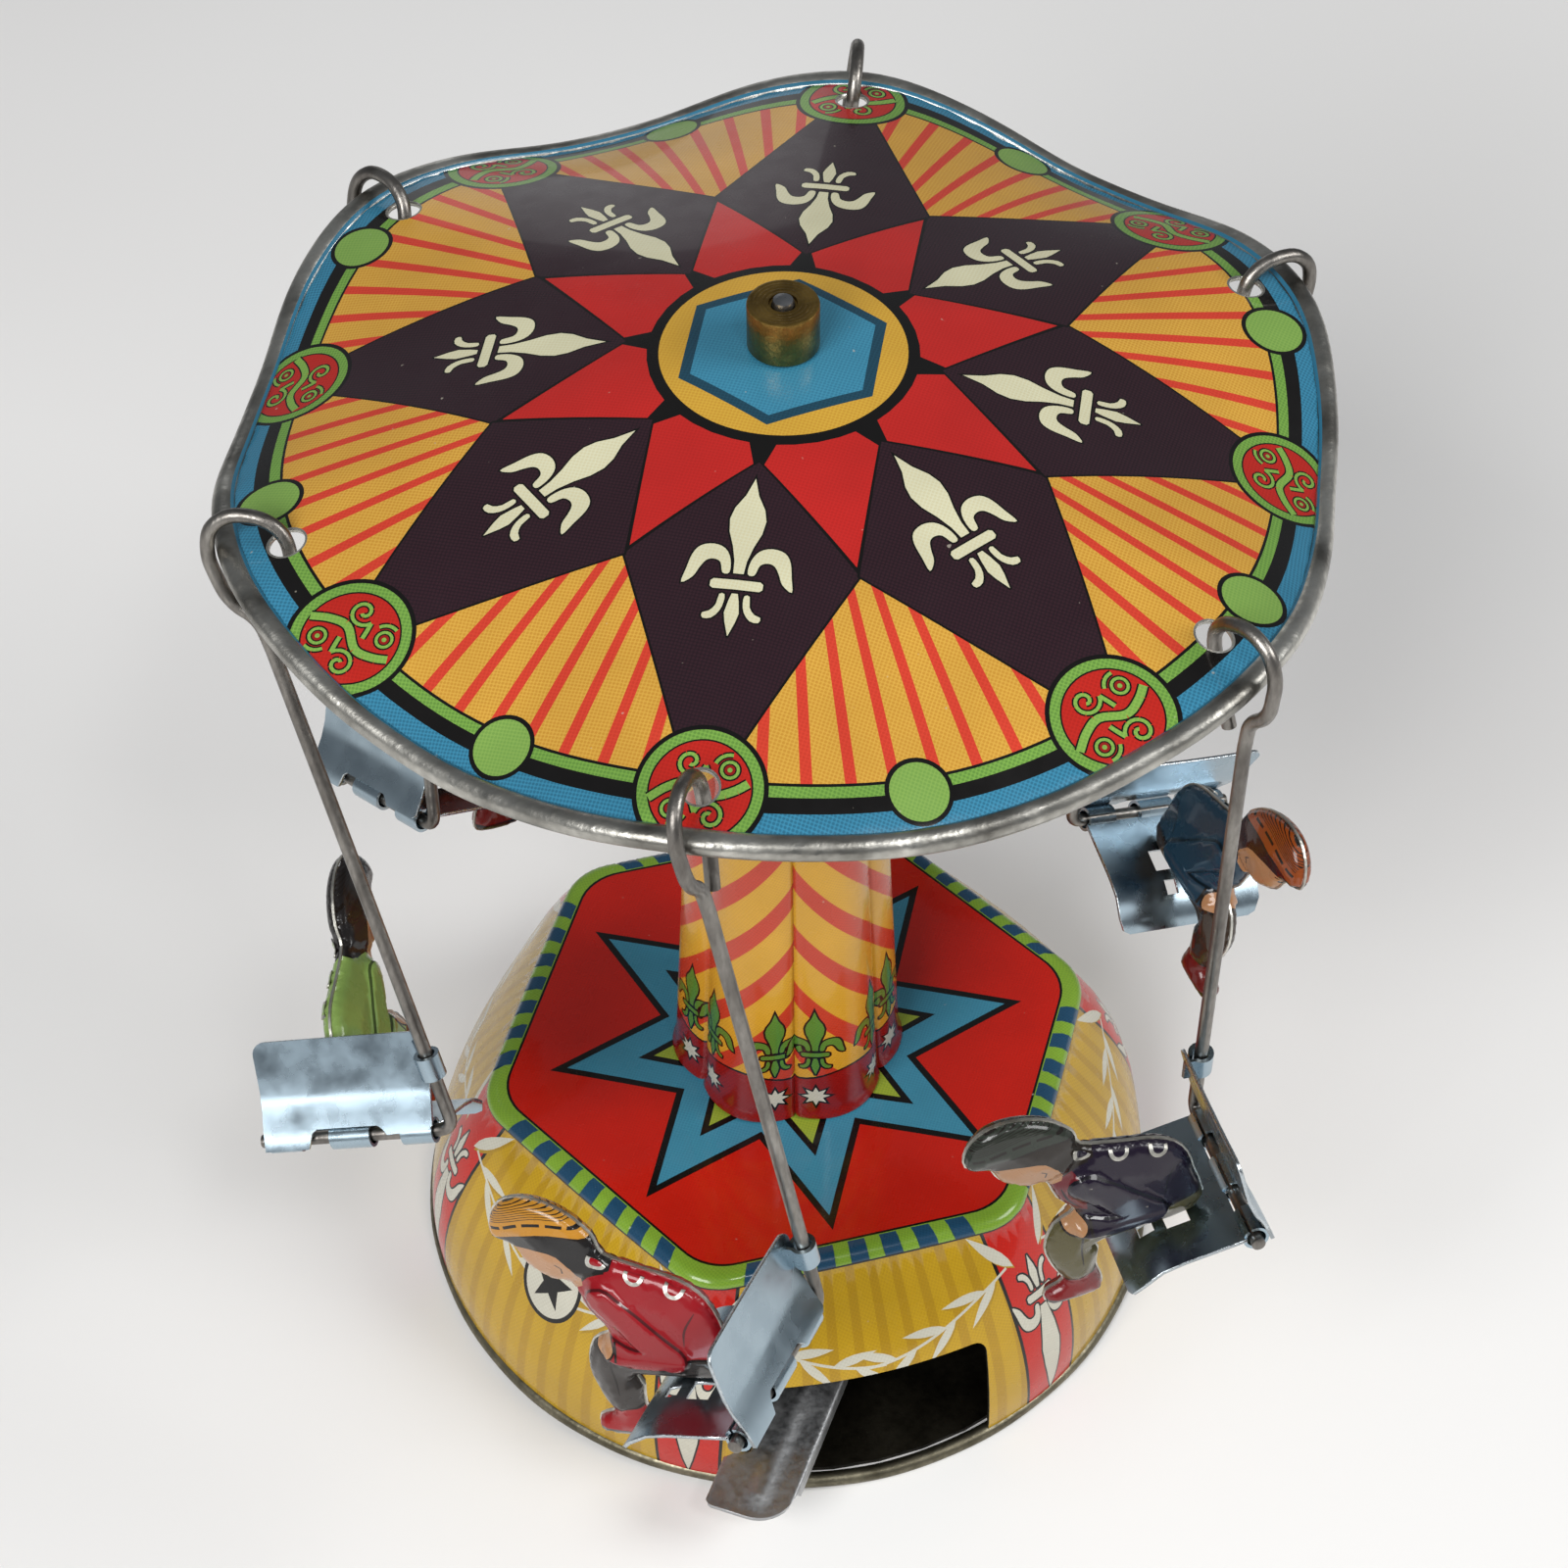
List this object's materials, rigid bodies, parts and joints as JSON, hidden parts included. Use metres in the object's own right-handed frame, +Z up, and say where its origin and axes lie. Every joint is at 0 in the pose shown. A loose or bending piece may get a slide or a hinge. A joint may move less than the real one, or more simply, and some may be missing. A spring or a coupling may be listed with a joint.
{
  "type": "tinplate carousel toy",
  "caption": "Tabletop tinplate carousel: thumb lever in a domed base spins a scalloped canopy on a fluted post, with seated riders hanging from its rim on wire hangers.",
  "frame": {"origin": "centre of the base underside, on the spindle line", "axes": "+Z up along the spindle, -Y towards the lever window"},
  "size_m": [0.1522, 0.1759, 0.1772],
  "materials": {
    "base_print": "gloss lithographed tinplate",
    "post_print": "gloss lithographed tinplate",
    "canopy_print": "gloss lithographed tinplate",
    "rider_print_1": "gloss lithographed tinplate",
    "rider_print_2": "gloss lithographed tinplate",
    "rider_print_3": "gloss lithographed tinplate",
    "rider_print_4": "gloss lithographed tinplate",
    "rider_print_5": "gloss lithographed tinplate",
    "rider_print_6": "gloss lithographed tinplate",
    "bare_tin": "tin-plated, lightly worn",
    "seat_tin": "bright tin-plated, bluish",
    "wire_steel": "dull, browned with age",
    "lever_steel": "dull dark",
    "machine_steel": "plain",
    "spring_steel": "plain",
    "cast_wheel": "as cast",
    "brass": "aged"
  },
  "bodies": {
    "stand": {"base_shell": "base_print", "base_floor": "bare_tin", "post_shell": "post_print", "lower_bearing": "brass", "upper_bearing": "brass", "gear_bridge": "machine_steel", "bridge_pillar_1": "machine_steel", "bridge_pillar_2": "machine_steel", "bridge_pillar_3": "machine_steel", "lever_pivot": "machine_steel", "return_spring": "spring_steel", "lever_stop": "machine_steel"},
    "carousel": {"spindle": "machine_steel", "clutch_collar": "machine_steel", "flywheel": "cast_wheel", "canopy_bush": "brass", "canopy": "canopy_print", "hub_nut": "brass"},
    "lever": {"lever": "lever_steel", "sector_gear": "machine_steel", "lever_rivet_1": "brass", "lever_rivet_2": "brass"},
    "pinion": {"drive_pinion": "brass", "clutch_spring": "spring_steel"},
    "hanger_1": {"hanger_1": "wire_steel", "seat_1": "seat_tin", "rider_1_inner_half": "rider_print_1", "rider_1_outer_half": "rider_print_1"},
    "hanger_2": {"hanger_2": "wire_steel", "seat_2": "seat_tin", "rider_2_inner_half": "rider_print_2", "rider_2_outer_half": "rider_print_2"},
    "hanger_3": {"hanger_3": "wire_steel", "seat_3": "seat_tin", "rider_3_inner_half": "rider_print_3", "rider_3_outer_half": "rider_print_3"},
    "hanger_4": {"hanger_4": "wire_steel", "seat_4": "seat_tin", "rider_4_inner_half": "rider_print_4", "rider_4_outer_half": "rider_print_4"},
    "hanger_5": {"hanger_5": "wire_steel", "seat_5": "seat_tin", "rider_5_inner_half": "rider_print_5", "rider_5_outer_half": "rider_print_5"},
    "hanger_6": {"hanger_6": "wire_steel", "seat_6": "seat_tin", "rider_6_inner_half": "rider_print_6", "rider_6_outer_half": "rider_print_6"}
  },
  "joints": [
    {"name": "canopy_spin", "type": "hinge", "parent": "stand", "child": "carousel", "pos_m": [0, 0, 0.1], "axis": [0, 0, 1], "continuous": true},
    {"name": "lever_swing", "type": "hinge", "parent": "stand", "child": "lever", "pos_m": [0.01511, -0.01015, 0.01], "axis": [0, 0, 1], "range_deg": [0, 29], "stiffness_Nm_per_rad": 0.03, "springref_deg": -20.05},
    {"name": "pinion_turn", "type": "hinge", "parent": "stand", "child": "pinion", "pos_m": [0, 0, 0.009], "axis": [0, 0, 1], "range_deg": [-102, 1]},
    {"name": "hanger_1_swing", "type": "hinge", "parent": "carousel", "child": "hanger_1", "pos_m": [-0.02469, -0.05797, 0.15978], "axis": [-0.8676, 0.4627, -0.1822], "range_deg": [-21, 24]},
    {"name": "hanger_2_swing", "type": "hinge", "parent": "carousel", "child": "hanger_2", "pos_m": [0.03786, -0.05037, 0.15978], "axis": [-0.9067, -0.4214, -0.0175], "range_deg": [-19, 26]},
    {"name": "hanger_3_swing", "type": "hinge", "parent": "carousel", "child": "hanger_3", "pos_m": [0.06255, 0.0076, 0.15978], "axis": [0.1886, -0.9765, 0.1045], "range_deg": [-3, 46.5]},
    {"name": "hanger_4_swing", "type": "hinge", "parent": "carousel", "child": "hanger_4", "pos_m": [0.02469, 0.05797, 0.15978], "axis": [0.9455, -0.3085, -0.1045], "range_deg": [-12, 33]},
    {"name": "hanger_5_swing", "type": "hinge", "parent": "carousel", "child": "hanger_5", "pos_m": [-0.03786, 0.05037, 0.15978], "axis": [0.8224, 0.4546, -0.342], "range_deg": [-3, 50]},
    {"name": "hanger_6_swing", "type": "hinge", "parent": "carousel", "child": "hanger_6", "pos_m": [-0.06255, -0.0076, 0.15978], "axis": [0.3516, 0.8893, -0.2924], "range_deg": [-3, 42]}
  ],
  "couplings": [
    {"joint": "pinion_turn", "follows": "lever_swing", "ratio": -3.5}
  ]
}
